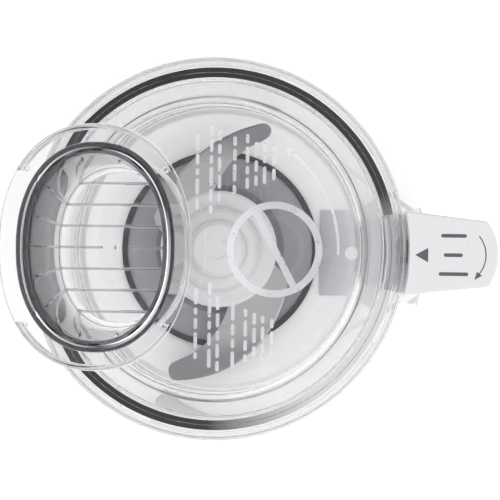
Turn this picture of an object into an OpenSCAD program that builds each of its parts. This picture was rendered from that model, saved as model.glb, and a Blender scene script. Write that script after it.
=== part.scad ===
// Food processor with a clear bowl, an oval feed tube and a direct-drive motor base.
// Frame: bowl axis on Z, table at z = 0, bowl handle towards +X. Millimetres.

/* [Lid] */
// Outside radius of the lid skirt
lid_r = 100; // [98:0.5:104]
// Height of the flat lid face above the table
lid_z = 235; // [233:0.5:240]
// Radius of the flat lid face
face_r = 77; // [72:0.5:79]

/* [Feed tube] */
// Distance of the tube axis from the bowl axis
tube_x = -51; // [-51.5:0.1:-50.5]
// Outside width of the tube along X
tube_w = 71.3; // [70:0.1:71.5]
// Outside length of the tube along Y
tube_l = 94.5; // [88:0.1:96]
// Wall of the tube
tube_wall = 2.6; // [2:0.1:2.8]
// Height of the tube's top edge
tube_top = 330.5; // [320:0.5:330.5]

/* [Bowl] */
// Inside radius of the bowl at its floor
bowl_r0 = 87.5; // [86:0.1:88]
// Inside radius of the bowl at its rim
bowl_r1 = 91.5; // [91:0.1:92]
// Wall of the bowl
bowl_wall = 2.5; // [2:0.1:2.5]

/* [Blade] */
// Thickness of each steel wing
blade_t = 1.6; // [1.2:0.1:2.4]
// Height of the lower wing
low_wing_z = 130; // [128:0.5:134]
// Height of the upper wing
high_wing_z = 149; // [145:0.5:152]

/* [Base] */
// Outside radius of the round motor housing
base_r = 92; // [90:0.5:94]
// Wall of the motor housing
base_wall = 3; // [2.5:0.1:3.5]
// Height of the deck round the bowl seat
deck_z = 104; // [102:0.5:105]

/* [Hidden] */
$fn = 96;
e = 0.01;
rim_z = 228.4;
cup_z = 233;
nose_x = 122;
nose_r = 22;
coup_r = 9.2;
rod_x = 134;
oval_n = 64;
white = [0.93, 0.93, 0.92];
steel = [0.7, 0.71, 0.72];
clear = [0.85, 0.89, 0.92, 0.35];
dark = [0.13, 0.13, 0.14];
grey = [0.62, 0.63, 0.65];
copper = [0.72, 0.42, 0.2];

// ---------- shared shapes ----------
function oval_points(w, l) = [for (i = [0:oval_n - 1]) let(t = 360 * i / oval_n)
  [w / 2 * sign(cos(t)) * pow(abs(cos(t)), 2 / 2.2), l / 2 * sign(sin(t)) * pow(abs(sin(t)), 2 / 2.2)]];
module oval(w, l) { polygon(oval_points(w, l)); }
module tube(r1, r2, z1, z2) {
  translate([0, 0, z1]) difference() {
    cylinder(r = r2, h = z2 - z1);
    translate([0, 0, -1]) cylinder(r = r1, h = z2 - z1 + 2);
  }
}
module disc(r, z1, z2) { translate([0, 0, z1]) cylinder(r = r, h = z2 - z1); }
module ring_of(n, r, a0 = 0) { for (i = [0:n - 1]) rotate([0, 0, a0 + 360 * i / n]) translate([r, 0, 0]) children(); }
// round body with a tangent nose towards +X, as one closed outline
function arc_points(cx, r, a1, a2, n) = [for (i = [0:n]) let(t = a1 + (a2 - a1) * i / n) [cx + r * cos(t), r * sin(t)]];
module teardrop(R, r, d) {
  phi = acos((R - r) / d);
  polygon(concat(arc_points(0, R, phi, 360 - phi, 60), arc_points(d, r, -phi, phi, 16)));
}
module slab(z1, z2, grow) { translate([0, 0, z1]) linear_extrude(z2 - z1) teardrop(base_r + grow, nose_r + grow, nose_x); }

// ---------- motor base ----------
module foot_ring() { color(dark) tube(60, 74, 0, 5); }

module base_plate() {
  color(white) difference() {
    union() {
      slab(5, 8, -4.2);
      // cup that holds the capacitor
      translate([-72.5, 0, 0]) tube(12.6, 14.4, 7.9, 16);
      // slotted posts that hold the circuit board
      for (x = [-34, 34]) difference() {
        translate([x - 3, -77, 7.9]) cube([6, 8, 34]);
        translate([x - (x > 0 ? 3.1 : -1), -73.9, 12]) cube([2.1, 1.8, 31]);
      }
    }
    // cooling slots outside the foot ring
    for (a = [0:15:345]) if (a % 45 != 0 && abs(a - 180) > 20) rotate([0, 0, a]) translate([76.5, -1.5, 4]) cube([8.5, 3, 5]);
    ring_of(4, 80, 45) translate([0, 0, 4]) cylinder(r = 2.2, h = 5);
    ring_of(4, 62, 45) translate([0, 0, 4]) { cylinder(r = 2.2, h = 5); cylinder(r = 3.7, h = 2.9); }
    translate([128, 0, 4]) cylinder(r = 2.2, h = 5);
  }
}

module base_housing() {
  color(white) difference() {
    union() {
      slab(8, 97, 0);
      slab(97, 100, -1);
      slab(100, 102.4, -2.6);
      slab(102.4, deck_z, -4.8);
      disc(83.5, deck_z - 1, 116);
      translate([rod_x, 0, deck_z - 1]) cylinder(r = 6.4, h = 3.2);
      // cord outlet boss at the back
      translate([0, 88, 22]) rotate([-90, 0, 0]) cylinder(r = 11, h = 7);
    }
    slab(7, 97, -base_wall);
    slab(96.9, 101, -base_wall - 2);
    disc(80.5, 100, 113);
    disc(13.5, 110, 117);
    translate([rod_x, 0, 95]) cylinder(r = 3.4, h = 15);
    translate([0, 80, 22]) rotate([-90, 0, 0]) cylinder(r = 7.05, h = 20);
    // exhaust louvres at the back
    for (a = [62:6:80], s = [-1, 1]) rotate([0, 0, 90 + s * (a - 40)]) translate([86, -1.4, 44]) cube([10, 2.8, 34]);
  }
  // bosses for the plate screws
  color(white) ring_of(4, 80, 45) tube(1.85, 5.2, 8.2, 30);
  color(white) intersection() { ring_of(4, 80, 45) translate([4.6, -2, 8.2]) cube([16, 4, 21]); slab(8.2, 29, 0.2 - base_wall); }
  color(white) translate([128, 0, 0]) { tube(1.85, 5, 8.2, 26); translate([4.8, -1.5, 8.2]) cube([12, 3, 17]); }
}

module base_screw(r, z1, z2) {
  disc(r * 1.9, z1, z1 + 1.4);
  disc(r, z1 + 1.3, z2);
}
module base_screws() {
  color(steel) ring_of(4, 80, 45) base_screw(1.8, 3.6, 24);
  color(steel) translate([128, 0, 0]) base_screw(1.8, 3.6, 22);
}

module seat_gasket() {
  color(dark) difference() {
    tube(56.5, 59.7, 116, 118.8);
    for (a = [180, 124]) rotate([0, 0, a]) translate([58.4, -8, 117.2]) cube([4, 16, 4]);
  }
}
module seat_plate() {
  color(grey) difference() {
    union() { disc(56.3, 116, 117.2); disc(39, 117, 118.4); }
    disc(13.6, 115, 120);
  }
}
module interlock_cover() {
  color(grey) difference() {
    translate([61, -27.5, 116]) cube([24, 52, 1.2]);
    difference() { disc(100, 115, 119); disc(83, 114, 120); }
  }
}

module stator_core() {
  color(grey) difference() {
    disc(55, 34, 74);
    disc(27.45, 33, 75);
    ring_of(18, 35.5) translate([-5.5, -2.2, 33]) cube([11, 4.4, 42]);
    ring_of(4, 49.5, 45) translate([0, 0, 33]) cylinder(r = 2.6, h = 42);
  }
}
module stator_windings() {
  color(copper) {
    ring_of(18, 35.5) translate([-4.6, -1.8, 27]) cube([9.2, 3.6, 54]);
    tube(31, 44, 75, 84);
    tube(31, 44, 25, 33);
  }
}
module bracket_shape(z1, z2, hub_z1, hub_z2, skirt_z1, skirt_z2) {
  tube(44.9, 55, min(z1, skirt_z1), max(z2, skirt_z2));
  for (a = [45:90:315]) rotate([0, 0, a]) translate([12, -7, z1]) cube([34, 14, z2 - z1]);
  disc(16.5, hub_z1, hub_z2);
}
module bolt_holes(r = 2.6) { ring_of(4, 49.5, 45) translate([0, 0, 5]) cylinder(r = r, h = 100); }
module lower_bracket() {
  color(steel) difference() {
    union() {
      bracket_shape(12, 18, 12, 22, 12, 33.9);
      for (a = [45:90:315]) rotate([0, 0, a]) translate([54, -7, 12]) cube([14, 14, 4]);
    }
    disc(13.05, 10, 24);
    bolt_holes();
    ring_of(4, 62, 45) translate([0, 0, 5]) cylinder(r = 1.85, h = 20);
  }
}
module upper_bracket() {
  color(steel) difference() {
    bracket_shape(88, 93, 88, 97.5, 74.1, 93);
    disc(13.05, 80, 100);
    bolt_holes();
  }
}
module through_bolts() {
  color(steel) ring_of(4, 49.5, 45) {
    disc(2.45, 12.5, 96);
    translate([0, 0, 93.05]) cylinder(r = 4.5, h = 3.4, $fn = 6);
  }
}
module motor_mounts() { color(dark) ring_of(4, 62, 45) tube(2.3, 7, 8, 12); }
module mount_screws() { color(steel) ring_of(4, 62, 45) base_screw(1.8, 5.3, 19); }
module shaft_bearings() {
  color(steel) { tube(7.05, 13, 13, 21.5); tube(7.05, 13, 88.5, 97); }
}
module shaft_seal() {
  color(dark) { tube(7.3, 13.4, 111, 117); tube(7.3, 9.5, 116.9, 119); }
}
module run_capacitor() {
  color(dark) translate([-72.5, 0, 0]) { disc(12.5, 8.2, 62); disc(5, 61.9, 64); for (y = [-4, 4]) translate([-0.5, y - 2.5, 63.9]) cube([1, 5, 8]); }
}
module control_board() {
  color([0.1, 0.35, 0.2]) translate([-33, -73.8, 13]) cube([66, 1.6, 46]);
  color(dark) {
    translate([-26, -72.2, 18]) cube([18, 11, 15]);
    translate([4, -72.2, 20]) cube([10, 8, 22]);
    translate([18, -72.2, 38]) cube([12, 9, 12]);
  }
}
module safety_switch() {
  color(dark) difference() {
    translate([121, -6, 70]) cube([18, 12, 24]);
    translate([rod_x, 0, 84]) cylinder(r = 3.3, h = 20);
  }
  color(steel) for (z = [73, 80]) translate([115, -2.5, z]) cube([6.01, 5, 0.8]);
}
module strain_relief() {
  color(dark) translate([0, 0, 22]) rotate([-90, 0, 0]) {
    difference() {
      disc(7, 84, 99);
      for (z = [93.6, 96.4]) tube(5.6, 8, z, z + 1.2);
    }
    disc(9, 84, 87.9);
    disc(4.4, 98.9, 100);
  }
}
module switch_plunger() {
  color(grey) translate([rod_x, 0, 0]) disc(3, 88, 108.2);
}

// ---------- spindle and rotor ----------
module drive_spindle() {
  color(steel) { disc(7, 11, 150.1); disc(6.2, 150, 171); }
}
module rotor_core() { color(grey) tube(7, 26.9, 34, 74); }
module rotor_cage() {
  color(steel) {
    tube(16, 26.5, 74, 77);
    tube(16, 26.5, 30, 34);
    ring_of(12, 22) translate([-3, -0.8, 27]) cube([6, 1.6, 3.01]);
  }
}
module cooling_fan() {
  color(dark) {
    tube(7, 12, 77, 86);
    tube(12, 29.6, 77, 78.2);
    for (a = [0:30:330]) rotate([0, 0, a]) translate([11.5, -0.7, 78.1]) cube([17.5, 1.4, 6.5]);
  }
}
module drive_coupling() {
  color(steel) difference() {
    translate([0, 0, 152]) rotate([0, 0, 30]) cylinder(r = coup_r, h = 18, $fn = 6);
    disc(6.25, 151, 172);
  }
}

// ---------- bowl and handle ----------
function bowl_in(z) = bowl_r0 + (bowl_r1 - bowl_r0) * (z - 121.5) / (rim_z - 121.5);
module bowl() {
  color(clear) {
    rotate_extrude() polygon([
      [13, 119], [86.6, 119], [86.6, 107.2], [89.2, 107.2], [bowl_r0 + bowl_wall, 121.5],
      [bowl_in(219) + bowl_wall, 219], [bowl_r1 + bowl_wall, rim_z], [bowl_r1, rim_z],
      [bowl_r0, 123.5], [bowl_r0 - 2, 121.5], [15.5, 121.5], [15.5, 150], [13, 150]]);
    // sloped lugs that hold the lid down
    for (a = [65:90:335]) rotate([0, 0, a - 6]) rotate_extrude(angle = 12)
      polygon([[93.6, 220.6], [96.4, 220.6], [96.4, 223], [93.6, 223.6]]);
  }
}

module handle_outline(shrink = 0) {
  difference() {
    intersection() {
      polygon([[80, 22.4 - shrink], [100, 21.2 - shrink], [148, 15.6 - shrink], [152, 15 - shrink], [152, -18 + shrink], [148, -18.8 + shrink], [100, -22.9 + shrink], [80, -24 + shrink]]);
      union() { translate([60, -40]) square([58, 80]); translate([118, -1.6]) circle(r = 30.2 - shrink); }
    }
    circle(r = 80);
  }
}
module handle_layer(z1, z2, r0, shrink) {
  translate([0, 0, z1]) linear_extrude(z2 - z1) difference() { handle_outline(shrink); circle(r = r0); }
}
module handle_grip() {
  color(white) difference() {
    union() {
      handle_layer(213.9, 228, 112.2, 1.2);
      handle_layer(198, 214, 94.4, 1.2);
      difference() {
        handle_layer(108.8, 214, 94.4, 2.4);
        // finger gap
        translate([80, -40, 127]) cube([45.5, 80, 71.2]);
        translate([80, -40, 100]) cube([48, 80, 12]);
      }
    }
    // bowl wall and skirt
    disc(94.05, 100, 240);
    // channel of the rod
    translate([rod_x - 3.6, -3.6, 100]) cube([7.2, 7.2, 114]);
    translate([100.6, -6.4, 203.4]) cube([37, 12.8, 10.51]);
    translate([80, -40, 213.9]) cube([32.2, 80, 20]);
    // pocket of the spring
    translate([rod_x, 0, 120]) cylinder(r = 6.3, h = 30);
    for (y = [-13, 10]) translate([119, y, 190]) { cylinder(r = 2.2, h = 45); cylinder(r = 4.2, h = 11.4); }
  }
  // pads that meet the bowl wall
  color(white) for (z = [117.5, 200]) difference() {
    translate([88, -9, z]) cube([8, 18, 9]);
    rotate_extrude() polygon([[0, 100], [89.2, 100], [bowl_r0 + bowl_wall + 0.05, 121.5], [bowl_r1 + bowl_wall + 0.05, rim_z], [0, rim_z]]);
    translate([100.6, -6.4, 203.4]) cube([37, 12.8, 12]);
  }
}
module handle_cover() {
  color(white) difference() {
    union() {
      handle_layer(228, 232.4, lid_r + 1.6, 0);
      handle_layer(232.3, 233.6, lid_r + 1.6, 0.9);
    }
    for (y = [-13, 10]) translate([119, y, 220]) cylinder(r = 1.75, h = 11);
  }
}
module handle_screws() {
  color(steel) for (y = [-13, 10]) translate([119, y, 0]) base_screw(1.7, 199.6, 230);
}
module interlock_rod() {
  color(grey) {
    translate([rod_x - 2.8, -2.8, 108.4]) cube([5.6, 5.6, 99.6]);
    translate([103.2, -4, 204.2]) cube([rod_x - 100.4, 8, 4]);
    translate([103.2, -4, 204.2]) cube([5.2, 8, 13.1]);
    translate([rod_x, 0, 120.6]) cylinder(r = 5.4, h = 1.8);
  }
}
module rod_spring() {
  color(steel) translate([rod_x, 0, 122.6]) linear_extrude(height = 26, twist = -360 * 7, slices = 126, $fn = 8) translate([4.75, 0]) polygon([for (i = [0:7]) [0.5 * cos(45 * i), 0.95 * sin(45 * i)]]);
}

// ---------- lid ----------
module lid_bars(x0, y0, y1) { translate([x0 - 0.8, y0, lid_z - 0.1]) cube([1.6, y1 - y0, 0.4]); }
module lid_disc() {
  color(clear) difference() {
    union() {
      rotate_extrude() polygon([
        [0, lid_z - 3], [face_r - 1.4, lid_z - 3], [face_r + 1.2, 228.8], [88, 228.8], [88, 221.7], [90.4, 219.4], [90.7, 219.4], [90.7, 232.9],
        [95, 229], [lid_r - 2.5, 229], [lid_r - 2.5, 216], [lid_r, 216], [lid_r, 233.3], [lid_r - 1.2, 234.5], [88.3, 234.5], [87.6, 231.3],
        [face_r + 3.6, 231.3], [face_r + 1.8, lid_z - 1], [face_r, lid_z], [0, lid_z]]);
      // ribs that pass under the lugs of the bowl
      for (a = [65:90:335]) rotate([0, 0, a - 5]) rotate_extrude(angle = 10)
        polygon([[96.9, 216.4], [lid_r - 2.4, 216], [lid_r - 2.4, 219.4], [96.9, 219.2]]);
      // locking lug under the handle cover
      rotate([0, 0, -15]) rotate_extrude(angle = 15.1) polygon([[lid_r - 0.5, 218], [110.6, 218], [110.6, 226.2], [lid_r - 0.5, 227.2]]);
      rotate_extrude(angle = 12) polygon([[lid_r - 0.5, 220.2], [110.6, 220.2], [110.6, 226.2], [lid_r - 0.5, 227.2]]);
      // raised warning ring with a slash, turn arrow and plain raised bars
      translate([31.2, 0, 0]) tube(21.4, 25, lid_z - 0.1, lid_z + 0.35);
      translate([31.2, 0, lid_z - 0.1]) rotate([0, 0, -62]) translate([-22, -1.8, 0]) cube([44, 3.6, 0.4]);
      rotate([0, 0, -3]) rotate_extrude(angle = 55) translate([63.9, lid_z - 0.1]) square([1.4, 0.45]);
      translate([71.8, -1.2, 0]) disc(3.4, lid_z - 0.1, lid_z + 0.35);
      for (i = [0:3]) { lid_bars(-3 + i * 11, 22 + 0.8 * i * i, 64 - 1.2 * i * i); lid_bars(-3 + i * 11, -64 + 1.2 * i * i, -22 - 0.8 * i * i); }
    }
    translate([tube_x, 0, 200]) linear_extrude(60) oval(tube_w, tube_l);
  }
}
module feed_tube() {
  color(clear) translate([tube_x, 0, 226]) linear_extrude(tube_top - 226) difference() {
    oval(tube_w, tube_l);
    oval(tube_w - 2 * tube_wall, tube_l - 2 * tube_wall);
  }
}

// ---------- pusher ----------
cup_w = tube_w - 2 * tube_wall - 1.5;
cup_l = tube_l - 2 * tube_wall - 1.5;
module pusher() {
  color(clear) translate([tube_x, 0, 0]) {
    translate([0, 0, cup_z]) linear_extrude(tube_top + 0.4 - cup_z) difference() {
      oval(cup_w, cup_l);
      oval(cup_w - 4, cup_l - 4);
    }
    translate([0, 0, cup_z]) linear_extrude(2.2) oval(cup_w - 3.9, cup_l - 3.9);
    for (i = [-3:3]) translate([0, i * 11.1, cup_z + 2.1]) linear_extrude(2.6) intersection() {
      square([80, 1.3], center = true);
      translate([0, -i * 11.1]) oval(cup_w - 3.9, cup_l - 3.9);
    }
    // brim with a deep skirt at both ends
    translate([0, 0, tube_top + 0.3]) linear_extrude(2.2) difference() {
      oval(86, 110.6);
      oval(cup_w - 4, cup_l - 4);
    }
    translate([0, 0, 321.5]) linear_extrude(tube_top + 0.4 - 321.5) difference() {
      oval(86, 110.6);
      oval(82, 106.6);
      translate([-50, -34]) square([100, 68]);
    }
  }
}

// ---------- blade ----------
module wing_low() {
  difference() {
    intersection() {
      translate([-25.1, -12.7]) circle(r = 66.5);
      polygon([[-27.6, -90], [60, -90], [60, -2], [0, -2], [-29.6, -64]]);
    }
    translate([-39.9, -22.5]) circle(r = 47.1);
  }
}
module wing_high() {
  difference() {
    intersection() {
      translate([43.5, -10.3]) circle(r = 86.4);
      polygon([[-60, 2], [-60, 90], [28, 90], [28.6, 68], [28, 62], [0, 2]]);
    }
    translate([42.3, 18.9]) circle(r = 47.9);
  }
}
module blade_ring() { difference() { circle(r = 30); circle(r = 19); } }
module blade_lower() {
  color(steel) translate([0, 0, low_wing_z]) linear_extrude(blade_t) {
    difference() { union() { wing_low(); circle(r = 30); } circle(r = 19); }
  }
}
module blade_upper() {
  color(steel) translate([0, 0, high_wing_z]) linear_extrude(blade_t) {
    difference() { union() { wing_high(); circle(r = 30); } circle(r = 19); }
  }
}
module blade_hub() {
  color(white) difference() {
    rotate_extrude() polygon([
      [17, 124], [34, 124], [34, 134], [31, 136], [31, 146], [34, 148], [34, 152.5], [32, 154.5], [25.5, 155.5], [24, 158],
      [23, 170], [21, 173], [17.5, 174.5], [14.2, 174.5], [14.2, 154.5], [17, 151.5]]);
    // pockets of the moulded-in wings
    translate([0, 0, low_wing_z]) linear_extrude(blade_t) { wing_low(); blade_ring(); }
    translate([0, 0, high_wing_z]) linear_extrude(blade_t) { wing_high(); blade_ring(); }
  }
}
module hub_cap() {
  color(white) rotate_extrude() polygon([[0, 175.5], [14, 175.5], [14, 174.6], [16.2, 174.6], [15.6, 182], [13.5, 185], [10, 186.2], [0, 186.6]]);
}
module hub_insert() {
  color(grey) difference() {
    disc(14.1, 154.7, 174.4);
    translate([0, 0, 150]) rotate([0, 0, 30]) cylinder(r = coup_r + 0.25, h = 30, $fn = 6);
  }
}

foot_ring();
base_plate();
base_housing();
base_screws();
seat_gasket();
seat_plate();
interlock_cover();
stator_core();
stator_windings();
lower_bracket();
upper_bracket();
through_bolts();
motor_mounts();
mount_screws();
shaft_bearings();
shaft_seal();
run_capacitor();
control_board();
safety_switch();
strain_relief();
switch_plunger();
drive_spindle();
rotor_core();
rotor_cage();
cooling_fan();
drive_coupling();
bowl();
handle_grip();
handle_cover();
handle_screws();
interlock_rod();
rod_spring();
lid_disc();
feed_tube();
pusher();
blade_hub();
blade_lower();
blade_upper();
hub_cap();
hub_insert();
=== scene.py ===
import math

import bmesh
import bpy
from mathutils import Matrix, Vector


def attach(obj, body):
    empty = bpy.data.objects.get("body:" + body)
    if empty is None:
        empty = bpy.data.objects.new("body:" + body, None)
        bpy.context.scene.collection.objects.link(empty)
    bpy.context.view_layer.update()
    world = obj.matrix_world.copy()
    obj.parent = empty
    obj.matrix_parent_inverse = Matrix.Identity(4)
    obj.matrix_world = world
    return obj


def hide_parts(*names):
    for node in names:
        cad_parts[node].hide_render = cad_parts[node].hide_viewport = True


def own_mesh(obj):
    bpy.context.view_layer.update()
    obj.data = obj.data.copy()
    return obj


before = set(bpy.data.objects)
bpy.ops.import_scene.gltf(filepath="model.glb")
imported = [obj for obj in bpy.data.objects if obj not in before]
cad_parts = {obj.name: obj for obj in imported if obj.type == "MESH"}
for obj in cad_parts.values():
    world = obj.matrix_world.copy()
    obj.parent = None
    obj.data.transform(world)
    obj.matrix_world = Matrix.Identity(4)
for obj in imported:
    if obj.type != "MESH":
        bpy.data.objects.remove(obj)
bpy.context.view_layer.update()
MM = 0.001
SEG = 256

# ------------------------------------------------------------------ sizes (mm), as the CAD has them
LID_R, LID_Z, FACE_R = 100.0, 235.0, 77.0
TUBE_X, TUBE_W, TUBE_L, TUBE_WALL, TUBE_TOP = -51.0, 71.3, 94.5, 2.6, 330.5
BOWL_R0, BOWL_R1, BOWL_WALL, RIM_Z = 87.5, 91.5, 2.5, 228.4
CUP_W, CUP_L, CUP_Z = TUBE_W - 2 * TUBE_WALL - 1.5, TUBE_L - 2 * TUBE_WALL - 1.5, 233.0
BASE_R, NOSE_R, NOSE_X, DECK_Z = 92.0, 22.0, 122.0, 104.0
LOW_Z, HIGH_Z, WING_T = 130.0, 149.0, 1.6


# ------------------------------------------------------------------ mesh helpers
def new_object(name, mesh):
    o = bpy.data.objects.new(name, mesh)
    bpy.context.scene.collection.objects.link(o)
    return o


def from_data(name, verts, faces):
    me = bpy.data.meshes.new(name)
    me.from_pydata([Vector(v) * MM for v in verts], [], faces)
    me.validate()
    bm = bmesh.new()
    bm.from_mesh(me)
    bmesh.ops.remove_doubles(bm, verts=bm.verts, dist=1e-7)
    bmesh.ops.dissolve_degenerate(bm, edges=bm.edges, dist=1e-7)
    bmesh.ops.recalc_face_normals(bm, faces=bm.faces)
    bm.to_mesh(me)
    bm.free()
    return new_object(name, me)


def baked(o):
    """Applies every modifier of o."""
    dg = bpy.context.evaluated_depsgraph_get()
    me = bpy.data.meshes.new_from_object(o.evaluated_get(dg))
    o.modifiers.clear()
    old = o.data
    o.data = me
    bpy.data.meshes.remove(old)
    return o


def boolean(o, other, op="UNION", keep=False):
    m = o.modifiers.new("b", "BOOLEAN")
    m.operation, m.solver, m.object = op, "EXACT", other
    baked(o)
    if not keep:
        bpy.data.objects.remove(other)
    return o


def joined(name, objects):
    bm = bmesh.new()
    for o in objects:
        bm.from_mesh(o.data)
        bpy.data.objects.remove(o)
    me = bpy.data.meshes.new(name)
    bm.to_mesh(me)
    bm.free()
    return new_object(name, me)


def smooth(o, angle=32, weighted=True):
    me = o.data
    me.shade_smooth()
    me.set_sharp_from_angle(angle=math.radians(angle))
    if weighted:
        m = o.modifiers.new("wn", "WEIGHTED_NORMAL")
        m.keep_sharp, m.weight, m.mode = True, 80, "FACE_AREA"
    return o


def bevel(o, width, segments=3, angle=35):
    m = o.modifiers.new("bv", "BEVEL")
    m.width, m.segments, m.limit_method, m.angle_limit = width * MM, segments, "ANGLE", math.radians(angle)
    m.harden_normals = False
    m.use_clamp_overlap = True
    return o


def rounded(points, radii, n=5):
    """A closed outline with each corner rounded to its radius."""
    out = []
    k = len(points)
    for i in range(k):
        p, a, b = Vector(points[i]), Vector(points[i - 1]), Vector(points[(i + 1) % k])
        r = radii[i] if isinstance(radii, (list, tuple)) else radii
        u, v = (a - p), (b - p)
        if r <= 0 or u.length < 1e-6 or v.length < 1e-6:
            out.append(tuple(p))
            continue
        lu, lv = u.length, v.length
        u, v = u / lu, v / lv
        ang = math.acos(max(-1, min(1, u.dot(v))))
        if ang > math.radians(176):
            out.append(tuple(p))
            continue
        d = min(r / math.tan(ang / 2), lu * 0.49, lv * 0.49)
        r = d * math.tan(ang / 2)
        s, e = p + u * d, p + v * d
        c = p + (u + v).normalized() * (r / math.sin(ang / 2))
        a0 = math.atan2(s.y - c.y, s.x - c.x)
        a1 = math.atan2(e.y - c.y, e.x - c.x)
        da = (a1 - a0 + math.pi) % (2 * math.pi) - math.pi
        for j in range(n + 1):
            t = a0 + da * j / n
            out.append((c.x + r * math.cos(t), c.y + r * math.sin(t)))
    return out


def lathe(name, profile, seg=SEG, a0=0.0, a1=360.0):
    """A closed solid: the closed outline of (radius, height) turned round Z."""
    full = abs(a1 - a0 - 360) < 1e-6
    k = len(profile)
    rings = seg if full else seg + 1
    verts, faces = [], []
    for i in range(rings):
        t = math.radians(a0 + (a1 - a0) * i / seg)
        for r, z in profile:
            verts.append((r * math.cos(t), r * math.sin(t), z))
    for i in range(seg):
        a, b = i * k, ((i + 1) % rings) * k
        for j in range(k):
            q = (j + 1) % k
            faces.append((a + j, b + j, b + q, a + q))
    if not full:
        faces.append(tuple(range(k)))
        faces.append(tuple((rings - 1) * k + j for j in reversed(range(k))))
    return from_data(name, verts, faces)


def oval_loop(w, l, n=SEG, power=2.2):
    out = []
    for i in range(n):
        t = 2 * math.pi * i / n
        c, s = math.cos(t), math.sin(t)
        out.append((w / 2 * math.copysign(abs(c) ** (2 / power), c), l / 2 * math.copysign(abs(s) ** (2 / power), s)))
    return out


def loft(name, loops, caps=True, ring=False):
    """Joins loops of (x, y, z) points with equal counts. caps fills the two ends, ring joins the last to the first."""
    n = len(loops[0])
    verts = [p for loop in loops for p in loop]
    faces = []
    m = len(loops)
    for j in range(m if ring else m - 1):
        a, b = j * n, ((j + 1) % m) * n
        for i in range(n):
            q = (i + 1) % n
            faces.append((a + i, a + q, b + q, b + i))
    if caps and not ring:
        faces.append(tuple(reversed(range(n))))
        faces.append(tuple((m - 1) * n + i for i in range(n)))
    return from_data(name, verts, faces)


def oval_loft(name, w, l, sections, ring=False, cx=TUBE_X, n=SEG):
    """sections: (inset, height) pairs."""
    return loft(name, [[(cx + x, y, z) for x, y in oval_loop(w - 2 * d, l - 2 * d, n)] for d, z in sections], ring=ring)


def extruded(name, outline, z1, z2):
    n = len(outline)
    return loft(name, [[(x, y, z1) for x, y in outline], [(x, y, z2) for x, y in outline]])


def box(name, lo, hi):
    x0, y0, z0 = lo
    x1, y1, z1 = hi
    return extruded(name, [(x0, y0), (x1, y0), (x1, y1), (x0, y1)], z0, z1)


def cylinder(name, r, z1, z2, seg=64, at=(0, 0)):
    return extruded(name, [(at[0] + r * math.cos(2 * math.pi * i / seg), at[1] + r * math.sin(2 * math.pi * i / seg)) for i in range(seg)], z1, z2)


def arc(cx, cy, r, a0, a1, n):
    return [(cx + r * math.cos(math.radians(a0 + (a1 - a0) * i / n)), cy + r * math.sin(math.radians(a0 + (a1 - a0) * i / n))) for i in range(n + 1)]


# ------------------------------------------------------------------ materials
def nodes_of(name):
    m = bpy.data.materials.new(name)
    m.use_nodes = True
    nt = m.node_tree
    p = nt.nodes["Principled BSDF"]
    return m, nt, p


def noise(nt, scale, detail=4.0, stretch=(1, 1, 1), coord="Object", rough=0.55):
    tc = nt.nodes.new("ShaderNodeTexCoord")
    mp = nt.nodes.new("ShaderNodeMapping")
    mp.inputs["Scale"].default_value = stretch
    tx = nt.nodes.new("ShaderNodeTexNoise")
    tx.inputs["Scale"].default_value = scale
    tx.inputs["Detail"].default_value = detail
    tx.inputs["Roughness"].default_value = rough
    nt.links.new(tc.outputs[coord], mp.inputs["Vector"])
    nt.links.new(mp.outputs["Vector"], tx.inputs["Vector"])
    return tx.outputs["Fac"]


def remap(nt, source, lo, hi, f0=0.3, f1=0.7):
    n = nt.nodes.new("ShaderNodeMapRange")
    n.inputs["From Min"].default_value, n.inputs["From Max"].default_value = f0, f1
    n.inputs["To Min"].default_value, n.inputs["To Max"].default_value = lo, hi
    nt.links.new(source, n.inputs["Value"])
    return n.outputs["Result"]


def ramp(nt, source, stops):
    n = nt.nodes.new("ShaderNodeValToRGB")
    els = n.color_ramp.elements
    els.remove(els[1])
    els[0].position, els[0].color = stops[0][0], (*stops[0][1], 1)
    for pos, col in stops[1:]:
        els.new(pos).color = (*col, 1)
    nt.links.new(source, n.inputs["Fac"])
    return n.outputs["Color"]


def bump(nt, p, source, strength, distance):
    b = nt.nodes.new("ShaderNodeBump")
    b.inputs["Strength"].default_value, b.inputs["Distance"].default_value = strength, distance
    nt.links.new(source, b.inputs["Height"])
    nt.links.new(b.outputs["Normal"], p.inputs["Normal"])


def clear_plastic(name, tint=(0.998, 0.999, 1.0), ior=1.5, density=16.0):
    """Clear, but slightly absorbing: walls seen edge on turn grey."""
    m, nt, p = nodes_of(name)
    va = nt.nodes.new("ShaderNodeVolumeAbsorption")
    va.inputs["Color"].default_value = (0.30, 0.29, 0.33, 1)
    va.inputs["Density"].default_value = density
    nt.links.new(va.outputs["Volume"], nt.nodes["Material Output"].inputs["Volume"])
    p.inputs["Base Color"].default_value = (*tint, 1)
    p.inputs["Transmission Weight"].default_value = 1.0
    p.inputs["IOR"].default_value = ior
    nt.links.new(remap(nt, noise(nt, 60, 3), 0.0, 0.015), p.inputs["Roughness"])
    return m


def plastic(name, colour, rough=(0.28, 0.4), grain=900, depth=0.000005, coat=0.0, mottle=0.03):
    m, nt, p = nodes_of(name)
    base = noise(nt, 25, 3)
    lo = tuple(c * (1 - mottle) for c in colour)
    nt.links.new(ramp(nt, base, [(0.3, lo), (0.7, colour)]), p.inputs["Base Color"])
    nt.links.new(remap(nt, noise(nt, 140, 5), *rough), p.inputs["Roughness"])
    p.inputs["Coat Weight"].default_value = coat
    bump(nt, p, noise(nt, grain, 2), 0.25, depth)
    return m


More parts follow.
